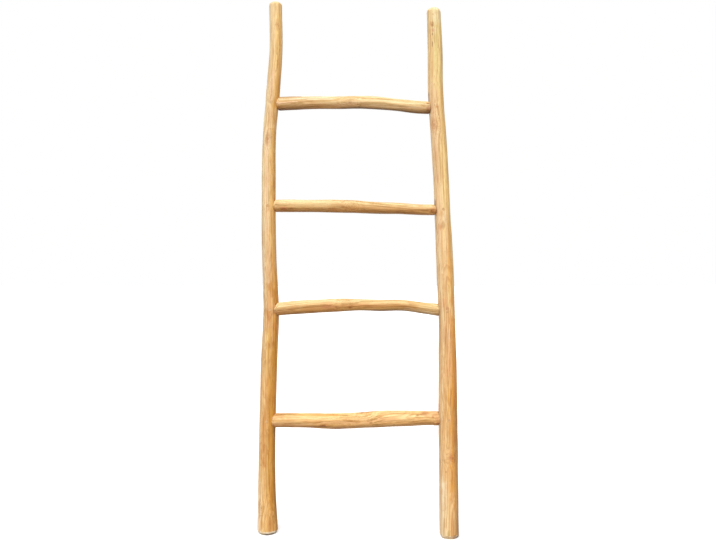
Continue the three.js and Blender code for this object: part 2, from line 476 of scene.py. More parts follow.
def step(value, low, high, start=0.0, end=1.0):
    """A smooth step from start to end as the value goes from low to high"""
    sockets = {0: value, 1: low, 2: high, 3: start, 4: end}
    return Value(node("MapRange", sockets, interpolation_type="SMOOTHSTEP"))


def noise(place, across, along, detail=2.0, roughness=0.5):
    """Noise with this many waves to the metre across the branch and along it"""
    stretched = place * (across, across, along)
    sockets = {"Vector": stretched, "Scale": 1.0, "Detail": detail, "Roughness": roughness}
    return Value(node("TexNoise", sockets))


def make_group(name, inputs, outputs, rule):
    """A group of nodes with named sockets, whose rule turns what comes in into what goes out"""
    tree = bpy.data.node_groups.new(name, "ShaderNodeTree")
    for sockets, way in ((inputs, "INPUT"), (outputs, "OUTPUT")):
        for socket in sockets:
            kind = "Vector" if socket in ("Place", "Centre", "Towards", "Push") else "Float"
            tree.interface.new_socket(socket, in_out=way, socket_type="NodeSocket" + kind)
    given = tree.nodes.new("NodeGroupInput")
    made = rule(*(Value(given, socket) for socket in inputs))
    result = tree.nodes.new("NodeGroupOutput").inputs
    for socket, value in zip(outputs, made):
        tree.links.new(value.socket, result[socket])
    return tree


def knot_rule(place, centre, reach, darkness, core, halo, layers, push):
    """One knot, added to what the knots before it made of the wood: its dark heart and broken rim,
    the warm wood round it, the growth layers heaped over it, and how far it pushes the grain aside"""
    off = place - centre
    wobble = noise(place, 230.0, 170.0)
    share = length_of(off * (1.0, 1.0, 0.78)) / reach + (wobble - 0.5) * 0.3
    heart = step(share, 0.24, 0.05)
    rim = step(abs(share - 0.42), 0.09, 0.02) * step(wobble, 0.46, 0.62, 0.0, 0.6)
    squared = share * share
    return (
        reckon("MAXIMUM", reckon("MAXIMUM", heart, rim) * darkness, core),
        reckon("MAXIMUM", step(share, 1.0, 0.1) * darkness, halo),
        2.718 ** (squared * -2.2) * (reach * 0.36) + layers,
        off * (0.8, 0.8, 0.1) * 2.718 ** (squared * -0.9) + push,
    )


def grain_rule(place, slant, push):
    """The wood's fibres along the branch: broad streaks, long dull lines, fine fibres, short open
    pores, a few hairline drying cracks and soft mottling"""
    twisted = {"Vector": place - push, "Angle": height_of(place) * slant}
    turned = Value(node("VectorRotate", twisted, rotation_type="Z_AXIS"))
    wood = turned + (noise(turned, 22.0, 7.0, 1.0) - 0.5) * (0.010, -0.010, 0.0)
    broad = noise(wood, 170.0, 4.2, 3.0, 0.55)
    lines = noise(wood, 310.0, 2.6)
    fine = noise(wood, 760.0, 13.0, 3.0, 0.6)
    hair = noise(wood, 2300.0, 45.0, 2.0, 0.6)
    pore = noise(wood, 1500.0, 110.0, 1.0)
    ridge = abs(noise(wood, 150.0, 5.0, 1.0) - 0.5)
    rare = step(noise(place, 40.0, 9.0, 1.0), 0.6, 0.68)
    mottle = noise(place, 75.0, 30.0, 3.0, 0.6)
    fibres = fine * 0.6 + hair * 0.4
    # Streaks and lines end in frayed fibres
    fray = fibres - 0.5
    return (
        step(broad + fray * 0.55, 0.38, 0.62),
        step(lines + fray * 0.35, 0.5, 0.62),
        step(fibres, 0.32, 0.68),
        step(pore, 0.62, 0.72),
        step(ridge, 0.0045, 0.0015) * rare,
        step(mottle, 0.3, 0.7),
    )


def rings_rule(place, shaved, layers, spacing):
    """The growth rings where the surface cuts them: loops and long points on the flats and round
    the knots, and circles on the sawn ends"""
    slow = noise(place, 24.0, 6.0, 1.0, 0.4) * 0.016
    rough = noise(place, 420.0, 40.0) * 0.0007
    depth = length_of(place * ACROSS) + slow + rough - shaved * 3.0 - layers
    phase = reckon("FRACT", depth / spacing)
    line = step(phase, 0.25, 0.86) * step(phase, 1.0, 0.9)
    return (line * step(noise(place, 34.0, 9.0, 1.0), 0.3, 0.72, 0.35, 1.0),)


def end_grain_rule(place):
    """Sawn wood seen end on: fine rays from the pith and a few open checks"""
    across = place * ACROSS
    bent = reckon("NORMALIZE", across) + noise(across, 300.0, 300.0) * (0.04, 0.03, 0.0)
    rays = noise(bent, 24.0, 24.0, 2.0, 0.6)
    ridge = abs(noise(bent, 1.6, 1.6, 0.0) - 0.5)
    off_pith = step(length_of(across), 0.001, 0.004)
    return step(rays, 0.35, 0.65), step(ridge, 0.018, 0.004) * off_pith


def band_rule(place, streaks, mottle, towards, half_width, softness, start, end, fade):
    """A soft-edged stripe of other wood or of painted light and shade along the branch, on one side of it
    and between two heights
    """
    facing = reckon("MINIMUM", facing_of(place, towards), 0.99999)
    off = reckon("ARCCOSINE", facing) + (streaks - 0.5) * 0.3
    along = height_of(place) + (mottle - 0.5) * 0.05
    ends = step(along, start - fade, start) * step(along, end + fade, end)
    return (step(off, half_width + softness, half_width - softness) * ends,)


def patch_rule(place, streaks, mottle, centre, reach, stretch):
    """A soft patch of another colour on the surface, drawn out along the grain"""
    flattening = Value(node("CombineXYZ", {0: 1.0, 1: 1.0, 2: reckon("DIVIDE", 1.0, stretch)}))
    share = length_of((place - centre) * flattening) / reach
    share = share + (mottle - 0.5) * 0.5 + (streaks - 0.5) * 0.35
    return (step(share, 1.0, 0.35),)


knotted = ("Core", "Halo", "Layers", "Push")
drawn = ("Streaks", "Lines", "Fibres", "Pores", "Cracks", "Mottle")
surface = ("Place", "Streaks", "Mottle")
stripe = ("Towards", "Half Width", "Softness", "Start", "End", "Fade")
knot_group = make_group("knot", ("Place", "Centre", "Reach", "Darkness", *knotted), knotted, knot_rule)
grain_group = make_group("grain", ("Place", "Slant", "Push"), drawn, grain_rule)
rings_group = make_group("growth_rings", ("Place", "Shaved", "Layers", "Spacing"), ("Rings",), rings_rule)
end_grain_group = make_group("end_grain", ("Place",), ("Rays", "Checks"), end_grain_rule)
band_group = make_group("band", (*surface, *stripe), ("Mask",), band_rule)
patch_group = make_group("patch", (*surface, "Centre", "Reach", "Stretch"), ("Mask",), patch_rule)


def blank_material(name):
    material = bpy.data.materials.new(name)
    material.use_nodes = True
    material.node_tree.nodes.clear()
    return material, material.node_tree


def spot(towards, out=1.0, along=0.0):
    """A place by the way round a branch in degrees, the distance out of its middle and along it"""
    turn = math.radians(towards)
    return out * math.cos(turn), out * math.sin(turn), along


def branch_finish(name, branch, tones, bands=(), stains_and_painted_light=()):
    """Sanded bare wood: two tones, a pale one on the branch's lit side and a deeper one on its other side,
    partly painted light and shade, that warm towards the low end, under streaks, rings, knots, stains,
    painted light and shade, and worn edges with painted highlights"""
    material, tree = blank_material(name + "_finish")

    def written(attribute, output="Fac"):
        return Value(node("Attribute", tree=tree, attribute_name=attribute), output)

    place = written("place", "Vector")
    shaved, worn_and_highlight, grime_and_shade, end_face = map(written, ("shaved", "worn_and_highlight", "grime_and_shade", "end_grain"))

    def grouped(group, sockets):
        """What a group makes of this wood, by the names of its outputs"""
        made = node("Group", {"Place": place, **sockets}, tree, node_tree=group)
        return {output.name: Value(made, output.name) for output in made.outputs}

    knots = {"Core": 0.0, "Halo": 0.0, "Layers": 0.0, "Push": (0.0, 0.0, 0.0)}
    for along, towards, rise, reach, dark in branch.knots:
        centre = spot(towards, float(branch.plain_radius(along)) + rise, along)
        knots = grouped(knot_group, {"Centre": centre, "Reach": reach, "Darkness": dark, **knots})
    core, halo = knots["Core"], knots["Halo"]
    grain = grouped(grain_group, {"Slant": tones["slant"], "Push": knots["Push"]})
    streaks, lines, fibres, pores, cracks, mottle = (grain[each] for each in drawn)
    sockets = {"Shaved": shaved, "Layers": knots["Layers"], "Spacing": tones["ring_spacing"]}
    rings = grouped(rings_group, sockets)["Rings"]
    ends = grouped(end_grain_group, {})

    # Which side of the branch is pale, and how far down it the colour has warmed. The pale side is the
    # side that faces the lamp, so the pale tone is partly painted light and the other tone partly painted
    # shade
    facing = facing_of(place, spot(tones["lit_side"])) + (streaks - 0.5) * 0.7
    edge, width = tones["pale_edge"], tones["edge_width"]
    pale = step(facing, edge - width, edge + width)
    warm = step(height_of(place) + (mottle - 0.5) * 0.2, *tones["warms"])
    pale_tone, deep_tone = (
        blend(warm, colour(tones[side][0]), colour(tones[side][-1])) for side in ("pale", "deep")
    )
    wood = blend(pale, deep_tone, pale_tone)
    noises = {"Streaks": streaks, "Mottle": mottle}
    for towards, half, soft, start, end, strength, tone in bands:
        sockets = {
            **noises,
            "Towards": spot(towards),
            "Half Width": math.radians(half),
            "Softness": math.radians(soft),
            "Start": start / 1000,
            "End": end / 1000,
            "Fade": min(0.05, (end - start) / 3000),
        }
        wood = blend(grouped(band_group, sockets)["Mask"] * strength, wood, colour(tone))
    for along, towards, reach, stretch, strength, tone in stains_and_painted_light:
        centre = spot(towards, float(branch.plain_radius(along / 1000)), along / 1000)
        sockets = {**noises, "Centre": centre, "Reach": reach / 1000, "Stretch": stretch}
        wood = blend(grouped(patch_group, sockets)["Mask"] * strength, wood, colour(tone))
    grown = [
        (streaks * tones["streaks"], "#e3bd8f"),
        (lines * tones["lines"], "#bfa468"),
        (mottle * 0.2, "#f4cdae"),
        (fibres * 0.2, "#dcb88c"),
        (rings * (halo * 0.6 + tones["rings"]), "#c9965f"),
        (pores * 0.45, "#b07c48"),
        (cracks * 0.75, "#7a4e28"),
        (halo * 0.35, "#d39a64"),
    ]
    wood = blend(core * 0.75, darkened(wood, grown), colour("#8a552c"))
    # Sawn ends are duller and browner, with rays and checks. Worn edges are pale, partly as a painted
    # highlight, and grime darkens the feet and the joints, partly as painted shade
    sawn = [(ends["Rays"] * 0.3, "#b98a5c"), (tones["sawn"], "#caa67e"), (ends["Checks"] * 0.8, "#4b2f19")]
    wood = blend(end_face, wood, darkened(wood, sawn))
    scuffed_and_lit = reckon("MULTIPLY", worn_and_highlight, step(mottle, 0.1, 0.8, 0.35, 0.8), use_clamp=True)
    wood = blend(scuffed_and_lit, wood, colour("#fff0d4"))
    wood = blend(grime_and_shade * step(mottle, 0.2, 0.7, 0.7, 1.0), wood, colour("#41301f"))

    open_grain = reckon("MAXIMUM", pores, end_face)
    roughness = step(fibres, 0.0, 1.0, 0.5, 0.62) + rings * 0.06 + open_grain * 0.18
    sunk = cracks + ends["Checks"] * end_face
    raised = fibres * -0.5 + rings * 0.5 - pores * 0.9 - core * 1.6 - sunk * 3.0
    bump = Value(node("Bump", {"Strength": 0.6, "Distance": 0.00012, "Height": raised}))
    sockets = {"Base Color": wood, "Roughness": roughness, "Normal": bump, "Specular IOR Level": 0.35}
    node("OutputMaterial", {"Surface": Value(node("BsdfPrincipled", sockets))})
    return material


# What differs from branch to branch besides its shape. Where a side has two tones, its wood goes
# from the first to the second between the two places along it in "warms"
shared_tones = {
    "streaks": 0.42,
    "lines": 0.45,
    "rings": 0.4,
    "ring_spacing": 0.0021,
    "sawn": 0.25,
    # The rails are pale on the left, the side that faces the lamp: partly the wood's own tone, partly
    # painted light, and their deeper right side is partly painted shade
    "lit_side": LEFT,
    "edge_width": 0.2,
    "warms": (0.85, 0.45),
    "slant": 0.5,
}
rail_tones = {
    "left_rail": {
        "pale": ("#f9e9bc", "#f0cf8d"),
        "deep": ("#fad58c", "#e6b04e"),
        "pale_edge": -0.24,
        "warms": (0.80, 0.45),
    },
    "right_rail": {
        "pale": ("#fae4b4", "#f4d49c"),
        "deep": ("#fde4a2", "#e6aa52"),
        "pale_edge": -0.18,
        "slant": -0.7,
    },
}
# Each piece's bands of other wood or of painted light and shade, as (towards, half width, softness, start,
# end, strength, colour), and its stains and patches of painted light and shade, as (place along the
# branch, towards, reach, stretch, strength, colour)
bands, stains_and_painted_light = {}, {}
bands["left_rail"] = [
    (-165, 40, 24, -60, 1560, 0.5, "#efe3c8"),
    (-45, 55, 25, 1330, 1580, 0.5, "#ffe7a4"),
    (-18, 34, 14, 1130, 1330, 0.5, "#f2bd58"),
    (-22, 40, 14, 1330, 1560, 0.5, "#ffd884"),
    (-95, 11, 7, 620, 1290, 0.45, "#f8d0b0"),
    (-160, 26, 14, 560, 1500, 0.35, "#e9dcae"),
    (-100, 14, 10, 60, 420, 0.3, "#f2bd8a"),
    (-62, 16, 10, 560, 770, 0.45, "#e0a14e"),
    # painted shade along the right side, which faces away from the lamp
    (-12, 30, 16, -60, 1320, 0.35, "#c9943f"),
    (-40, 40, 20, 1480, 1580, 0.4, "#fff0c4"),
    # painted light on the right edge, which faces away from the lamp
    (-5, 26, 12, 1310, 1430, 0.4, "#fff0cc"),
    (-112, 20, 14, 560, 630, 0.5, "#d29a54"),
    (-95, 16, 11, 625, 690, 0.5, "#d79c4a"),
    (-108, 17, 12, 225, 330, 0.6, "#cf9248"),
    (-110, 60, 25, -60, 75, 0.4, "#ffe0a4"),
    (-56, 13, 8, -60, 120, 0.45, "#e39c3c"),
    # painted shade: the shadow that rung 4 casts down the rail's right side
    (-14, 16, 8, -60, 330, 0.4, "#94703c"),
    (-30, 36, 14, 1300, 1370, 0.5, "#ffe2a0"),
    (-150, 24, 12, 1270, 1330, 0.35, "#c9a878"),
    # painted light just under rung 1's joint, where the rung's shadow falls
    (-45, 60, 20, 1150, 1190, 0.45, "#ffe6b4"),
    (-80, 13, 7, 360, 550, 0.4, "#cf9c58"),
    (-150, 22, 12, 400, 500, 0.35, "#c99a5c"),
    (-80, 12, 7, 575, 605, 0.45, "#c9934f"),
    (-80, 12, 7, 255, 290, 0.5, "#c08a45"),
    (-15, 24, 10, 1035, 1065, 0.4, "#c9973f"),
    (-35, 30, 12, 955, 990, 0.35, "#cf9c58"),
    (-150, 32, 14, 720, 850, 0.45, "#f8eedc"),
    (-155, 30, 14, -60, 90, 0.8, "#fff4dc"),
    (-42, 24, 12, -60, 45, 0.45, "#ffd690"),
]
bands["right_rail"] = [
    (-160, 36, 22, -60, 1530, 0.45, "#f0dfbe"),
    (-70, 80, 30, 1290, 1560, 0.7, "#fff3b2"),
    (-90, 170, 9, -60, 70, 0.5, "#ffe0a8"),
    (-125, 14, 10, 850, 1480, 0.35, "#eec39a"),
    (-88, 9, 7, 1320, 1425, 0.5, "#dccb84"),
    (-62, 10, 7, 725, 845, 0.6, "#e7a856"),
    (-92, 7, 5, 640, 760, 0.5, "#efe3b2"),
    (-88, 22, 12, 470, 640, 0.4, "#f3bd8a"),
    (-96, 5, 3, 20, 95, 0.3, "#d2bc6e"),
    (-75, 6, 5, 15, 105, 0.25, "#efae7c"),
    # painted shade along the right side, which faces away from the lamp
    (-10, 26, 14, -60, 1530, 0.25, "#bf9450"),
    # painted shade low on the right side
    (-8, 24, 14, -60, 400, 0.3, "#a67c44"),
    (-145, 36, 12, -60, 120, 0.95, "#fff4d4"),
    (-100, 34, 20, -60, 95, 0.4, "#ffe6b0"),
    (-102, 12, 8, 515, 605, 0.5, "#fde2b2"),
    (-60, 60, 25, 1440, 1560, 0.5, "#fffbd8"),
    (-97, 12, 7, 535, 570, 0.5, "#ffe6c0"),
    (-30, 26, 14, -60, 340, 0.65, "#cbaa74"),
    # painted shade low on the right side, which faces away from the lamp
    (-10, 22, 9, -60, 320, 0.45, "#7f6c48"),
    (-62, 18, 10, 255, 290, 0.4, "#c98e4a"),
]
stains_and_painted_light["left_rail"] = [
    (1436, -73, 8, 2.4, 0.35, "#cf9d6e"),
    (1213, -57, 13, 1.8, 0.6, "#dfae52"),
    (1180, -66, 6, 2.5, 0.5, "#e6a86c"),
    # painted light just under rung 1's joint, where the rung's shadow falls
    (1186, -50, 12, 1.4, 0.5, "#fbdfa6"),
    (690, -14, 26, 2.6, 0.65, "#d9a037"),
    (640, -22, 10, 1.2, 0.55, "#cb8a2c"),
    (585, -45, 9, 2.0, 0.4, "#e39a52"),
    (335, -25, 7, 1.2, 0.6, "#d9813a"),
    # painted shadow under rung 4's joint
    (292, -16, 12, 2.0, 0.75, "#7a5a22"),
    (1003, -80, 16, 2.0, 0.3, "#e8c49a"),
    (79, -124, 12, 1.2, 0.4, "#e6cf92"),
]
stains_and_painted_light["right_rail"] = [
    (1454, -102, 4, 1.0, 0.4, "#c79a58"),
    (1424, -113, 3.5, 2.6, 0.6, "#a8824a"),
    (1227, -172, 8, 2.6, 0.7, "#7d5a30"),
    (931, -170, 7, 2.0, 0.7, "#7d5a30"),
    (1410, -107, 8, 1.0, 0.5, "#e3a886"),
    (1400, -112, 3, 2.0, 0.6, "#a5713f"),
    (1372, -115, 2.5, 4.0, 0.6, "#a5713f"),
    (909, -150, 9, 1.4, 0.6, "#d99a5c"),
    (898, -84, 9, 1.8, 0.6, "#f8e8c4"),
    (901, -106, 9, 1.6, 0.45, "#dcae66"),
    (886, -75, 10, 1.4, 0.55, "#f8e6be"),
    (868, -96, 6, 2.5, 0.5, "#b98a55"),
    (863, -120, 7, 1.6, 0.5, "#e0a264"),
    (638, -93, 9, 1.0, 0.55, "#d39a72"),
    (650, -110, 14, 1.6, 0.35, "#f2b98c"),
    (1150, -112, 18, 1.2, 0.25, "#d9a272"),
    (225, -81, 7, 1.5, 0.6, "#d98a58"),
    (186, -111, 3, 1.5, 0.6, "#b9834f"),
    (8, -154, 3.5, 1.0, 0.7, "#a87c4e"),
    (10, -59, 4, 1.0, 0.6, "#8f6a45"),
    (14, -96, 6, 2.0, 0.45, "#c9ae62"),
]
for name, shape in rail_shapes.items():
    branch = branches[name]
    rail = make_rail(name, shape, branch)
    cutters = []
    for (rung, side), joint in joints.items():
        if side == shape["side"]:
            deeper = joint["tenon_end"] + [side * clearance, 0, 0]
            bore = rod("bore", tenon_radius + clearance, joint["root"], deeper)
            cutters += [bore, pin_hole(joint)]
    cut_out(rail, cutters)
    across, deep, height = branch.straighten(read(rail.data.vertices)).T
    radius, turn = np.hypot(across, deep), np.arctan2(deep, across)
    # The filing went up unevenly and is pale, partly a painted highlight on the foot's downward-facing
    # edge, and grime has crept up after it, mostly at the front right, partly a painted contact shadow
    # where the foot meets the floor
    play = np.cos(3 * turn + shape["seed"]) + 0.8 * np.cos(7 * turn)
    filed_to = 1.3 * foot_chamfer_height + 0.0008 * play
    filed_and_lit = shape["filed_and_lit"] * ease(filed_to - height, -0.0008, 0.0008) * ease(radius, 0.012, 0.019)
    facing = np.clip(np.cos(turn - math.radians(shape["dirt_side"])), 0.05, 1) ** shape["dirt_focus"]
    facing = np.maximum(facing, 0.2)
    crept = 0.0058 * facing + 0.0006 * play
    grime_and_shade = facing * ease(crept - height, -0.0004, 0.001) * ease(radius, 0.004, 0.016)
    rounded = 0.6 * ease(height, branch.length - 0.8 * shape["top_rounding"] / 1000, branch.length)
    lay_grain(rail, branch, np.maximum(filed_and_lit, rounded), grime_and_shade)
    tones = {**shared_tones, **rail_tones[name]}
    finish = branch_finish(name, branch, tones, bands[name], stains_and_painted_light[name])
    rail.data.materials.append(finish)
    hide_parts(name)
    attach(rail, "root")


# The rungs are four more peeled branches. Each end is whittled to a rounded shoulder that is
# hollowed to sit against its rail, with a round tenon beyond it, glued and pinned into the bore.

shoulder_inset, shoulder_length, shoulder_share, shoulder_bluntness = 0.004, 0.020, 0.4, 1.7
rim_rounding = 0.0026
rung_sides, rung_ring_step, facet_count = 80, 0.0021, 9
rung_shapes = {}
rung_shapes["rung_1"] = {
    "rise": [0, 4, 7, 8.5, 11, 10.5, 6, 1.5, 0],
    "depth": [0, 1, 2, 3, 2, 0, -1, -1, 0],
    "thickness": [38, 38, 36, 36, 35, 36, 34, 36, 35],
    "knots": [
        (221, -80, 1.5, 22, 0.45),
        (439, -124, 0.3, 6, 0.8),
        (90, 60, 0, 9, 0.6),
        (340, 100, 0, 10, 0.5),
    ],
    "twist": 1.2,
    "seed": 31,
}
rung_shapes["rung_2"] = {
    "rise": [0, 1.5, 2.5, 3.5, 3.5, 2, 1.5, -0.5, 0],
    "depth": [0, -2, -3, -2, 0, 2, 3, 1, 0],
    "thickness": [35.5, 35.5, 35, 36, 35, 33.5, 31.5, 30, 31],
    "knots": [
        (237, -92, 0.2, 18, 0.25),
        (462, -70, 0.5, 8, 0.7),
        (467, -135, 0.6, 8, 0.6),
        (130, 80, 0, 12, 0.6),
    ],
    "collars": [(461, 2.5, -0.5)],
    "twist": 0.1,
    "seed": 37,
}
rung_shapes["rung_3"] = {
    "rise": [0, 6, 10, 13.5, 15.5, 14.5, 14.5, 6.5, 0],
    "depth": [0, 2, 3, 1, -1, -2, -2, 0, 0],
    "thickness": [37, 38, 38.5, 38.5, 33.5, 32, 31, 32, 37],
    "knots": [
        (216, ABOVE, 5, 24, 0.5),
        (225, -70, 0.6, 8, 0.4),
        (186, -78, 0.3, 7, 0.35),
        (330, 95, 0, 10, 0.5),
    ],
    "collars": [(456, 1.6, 0.5), (462, 1.6, 0.55), (468, 1.8, 0.5)],
    "twist": 2.9,
    "seed": 41,
}
rung_shapes["rung_4"] = {
    "rise": [0, 0, -1.5, -3, -2.5, 0, 0.5, 1, 0],
    "depth": [0, -1, -3, -4, -2, 1, 2, 1, 0],
    "thickness": [39.5, 39.5, 41, 44, 44, 46, 44.5, 40.5, 39.5],
    "knots": [
        (196, UNDER, 1, 24, 0.5),
        (275, ABOVE, 1.5, 30, 0.4),
        (165, -62, 0, 9, 0.8),
        (120, 95, 0, 12, 0.6),
        (474, -125, 1.3, 12, 0.4),
        (478, -50, 1.6, 12, 0.5),
        (476, 60, 1.4, 14, 0.4),
        (475, 170, 1.2, 12, 0.3),
    ],
    "collars": [(477, 7, 0.9)],
    "twist": 1.7,
    "seed": 47,
}


class Rung(Branch):
    """A branch whose ends are whittled down to rounded shoulders"""

    def radius(self, along, turn):
        left = super().radius(along, turn)
        from_end = np.minimum(along, self.length - along)
        opened = 1 - np.clip((from_end - shoulder_inset) / shoulder_length, 0, 1)
        left = left * (1 - (1 - shoulder_share) * opened**shoulder_bluntness)
        # The knife's facets round each end
        near = ease(from_end, 0.050, 0.018)
        for facet in self.facets:
            lean = np.cos(turn - facet)
            flat = np.where(lean > 0.5, 0.982 * left / np.maximum(lean, 0.5), 1.0)
            left = left + near * (np.minimum(left, flat) - left)
        return left


def make_rung_branch(name, shape):
    start, end = joints[name, -1]["centre"], joints[name, 1]["centre"]
    length = end[0] - start[0]

    def centre_line(along):
        share = along / length
        across = -(end[2] - start[2]) * share - smooth(shape["rise"], share)
        return across, smooth(shape["depth"], share)

    rung = Rung(shape, length, centre_line, start, [(0, 0, -1), (0, 1, 0), (1, 0, 0)])
    draw = np.random.default_rng(shape["seed"] + 1)
    rung.facets = [
        math.tau * (each + draw.uniform(-0.25, 0.25)) / facet_count for each in range(facet_count)
    ]
    return rung


def halve(outside, count, inner, outer):
    """For so many points, the values between inner and outer at which they leave the rail"""
    inner, outer = np.full(count, inner), np.full(count, outer)
    for _ in range(26):
        middle = (inner + outer) / 2
        beyond = outside(middle) > 0
        inner, outer = np.where(beyond, inner, middle), np.where(beyond, middle, outer)
    return (inner + outer) / 2


def shoulder_rings(name, rung, side, turn):
    """Where each line along the rung's surface ends at the rail, and the rings from there to the
    middle of the tenon's end: a rounded rim, the hollow that faces the rail, and the tenon"""
    rail, joint = rail_at(side), joints[name, side]

    def clear(points):
        return rail.outside(points) - clearance

    def on_rung(distance):
        """A ring on the rung, at a distance along it from the joint's middle"""
        along = distance if side < 0 else rung.length - distance
        return rung.at(along, turn, rung.radius(along, turn))

    reach = 0.05
    meet = halve(lambda distance: clear(on_rung(distance)), rung_sides, 0.006, reach)
    corner = on_rung(meet)
    spread = np.stack([np.zeros_like(turn), np.sin(turn), -np.cos(turn)], axis=-1)
    tenon = joint["centre"] + tenon_radius * spread
    inward = -side * np.array([1.0, 0.0, 0.0])

    def in_hollow(share):
        """Points of the hollow, from the rim at 0 to the tenon at 1"""
        flat = corner + share * (tenon - corner)
        flat[:, 0] = joint["centre"][0]
        gap = halve(lambda out: clear(flat + out[:, None] * inward), rung_sides, 0.0, reach)
        return flat + gap[:, None] * inward

    width = np.linalg.norm((corner - tenon)[:, 1:], axis=1)
    first = rim_rounding / width
    hollow = [in_hollow((first + (1 - first) * share)[:, None]) for share in (0.0, 0.33, 0.66, 1.0)]
    start = on_rung(meet + rim_rounding)
    rim = [
        (1 - share) ** 2 * start + 2 * share * (1 - share) * corner + share**2 * hollow[0]
        for share in (0.2, 0.4, 0.6, 0.8)
    ]
    tip = joint["tenon_end"]
    edge = 0.001
    shank = [
        tip + (tenon_radius - inset) * spread + back * inward
        for back, inset in ((0.012, 0), (0.006, 0), (edge, 0), (0, edge), (0, 0.5 * tenon_radius))
    ]
    return meet + rim_rounding, rim + hollow + shank, tip


def make_rung(name, rung):
    turn = np.linspace(-math.pi, math.pi, rung_sides, endpoint=False)
    left_start, left_rings, left_tip = shoulder_rings(name, rung, -1, turn)
    right_start, right_rings, right_tip = shoulder_rings(name, rung, 1, turn)
    share = np.linspace(0, 1, int(rung.length / rung_ring_step))[:, None]
    along = left_start + (rung.length - right_start - left_start) * share
    body = rung.at(along, turn, rung.radius(along, turn))
    rings = np.concatenate([left_rings[::-1], body, right_rings])
    return closed_skin(name + "_wood", rings, left_tip, right_tip)


shared_rung_tones = {
    **shared_tones,
    "pale": ("#f0dfaa",),
    "deep": ("#dfbc82",),
    # The rungs are pale on top and towards the front and deeper underneath: painted light on top and
    # painted shade underneath
    "lit_side": LEFT + 25,
    "pale_edge": 0.35,
    "edge_width": 0.45,
    "slant": 2.5,
    "streaks": 0.62,
    "lines": 0.7,
}
rung_tones = {
    "rung_1": {"pale": ("#f4e5b2",), "deep": ("#ffe4b6",), "lit_side": LEFT + 33},
    "rung_2": {"slant": -2.0},
    "rung_3": {"slant": 3.0},
    "rung_4": {"pale": ("#fae0a4",), "deep": ("#f3cd90",)},
}
bands["rung_1"] = [
    (-88, 13, 9, -10, 120, 0.4, "#f9cdac"),
    (-113, 15, 8, 60, 160, 0.9, "#fff6d4"),
    # painted shade along the underside
    (6, 34, 12, -60, 520, 0.85, "#6f5230"),
    (-162, 19, 7, -60, 60, 0.65, "#74654a"),
    # painted shade under the front near both ends, by the joints
    (-15, 40, 20, -60, 110, 0.4, "#a58450"),
    (-15, 40, 20, 360, 520, 0.35, "#a58450"),
    (-152, 26, 9, -60, 75, 0.65, "#b08a58"),
]
bands["rung_2"] = [
    (-70, 34, 20, 210, 520, 0.45, "#d39a52"),
    # painted shade along the underside
    (5, 22, 10, -60, 540, 0.4, "#7d5f3a"),
]
bands["rung_3"] = [
    (-76, 32, 20, 100, 390, 0.5, "#dfab60"),
    # painted shade along the underside
    (-3, 25, 9, -60, 560, 0.55, "#725634"),
    (-88, 10, 8, 60, 300, 0.3, "#dfa376"),
    (-84, 10, 6, 250, 400, 0.4, "#c28f4e"),
    (-48, 16, 9, 380, 490, 0.6, "#fbe8c0"),
    (-58, 18, 9, -10, 60, 0.4, "#f8d4a6"),
]
bands["rung_4"] = [
    (-158, 14, 8, 10, 200, 0.6, "#e3ae44"),
    (-170, 30, 10, -60, 65, 0.55, "#b08c4c"),
    (-76, 24, 12, 30, 120, 0.35, "#ffe4b4"),
    (-92, 12, 8, 150, 330, 0.3, "#f0b184"),
    (-130, 22, 8, -20, 30, 0.5, "#cf9c62"),
    (-54, 15, 8, 25, 110, 0.7, "#ffe0b8"),
    (-150, 30, 12, 450, 520, 0.6, "#cf9e6c"),
]
stains_and_painted_light["rung_1"] = [
    # painted shade at the right end, by the joint
    (443, -70, 11, 1.3, 0.55, "#b87440"),
    (439, -124, 4, 1.5, 0.6, "#b98450"),
    # painted shade under the front at the right end, by the joint
    (440, -22, 11, 1.6, 0.6, "#7f5a34"),
    # painted shade under the front at the left end, by the joint
    (20, -18, 11, 1.8, 0.5, "#7f6034"),
]
stains_and_painted_light["rung_2"] = [
    (43, -62, 10, 1.8, 0.55, "#d8906a"),
    (462, -90, 9, 1.0, 0.5, "#c98a4c"),
    (458, -75, 4, 1.0, 0.6, "#96622f"),
]
stains_and_painted_light["rung_3"] = [
    (160, -88, 13, 2.4, 0.45, "#dd9f78"),
    (188, -74, 4.5, 1.6, 0.45, "#a8703c"),
    (225, -68, 6, 1.4, 0.4, "#a8703c"),
]
stains_and_painted_light["rung_4"] = [
    (158, -62, 9, 2.0, 0.6, "#b98048"),
    (293, -77, 4, 1.4, 0.5, "#a8703c"),
    (400, -143, 3.5, 1.6, 0.45, "#a8703c"),
    (424, -126, 3.5, 1.6, 0.5, "#a8703c"),
    (466, -110, 5, 1.0, 0.6, "#c98654"),
    (478, -95, 8, 1.0, 0.5, "#e2a27c"),
    (480, -60, 7, 1.0, 0.6, "#b9805c"),
]
for name, shape in rung_shapes.items():
    rung = make_rung_branch(name, shape)
    piece = make_rung(name, rung)
    cut_out(piece, [pin_hole(joints[name, side]) for side in (-1, 1)])
    points = read(piece.data.vertices)
    gap = np.minimum(*(rail_at(side).outside(points) for side in (-1, 1)))
    at_left = points[:, 0] < 0
    # Pale rims where each rung's shoulder meets its rail, stronger at the left ends, are worn edges and
    # partly a painted highlight; the darkening near each joint, stronger at the right ends, is painted
    # contact shade
    rim = np.where(at_left, 0.7, 0.25) * ease(gap, 0.0035, 0.0008)
    joint_shade = np.where(at_left, 0.1, 0.45) * ease(gap, 0.006, 0.0)
    lay_grain(piece, rung, rim, joint_shade)
    tones = {**shared_rung_tones, **rung_tones[name]}
    finish = branch_finish(name, rung, tones, bands[name], stains_and_painted_light[name])
    piece.data.materials.append(finish)
    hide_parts(name)
    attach(piece, "root")


# The pins are short dowels of the same pale wood. Each is driven in from the rail's front through
# the hidden tenon, then cut off and sanded flush, so only its round end grain shows.

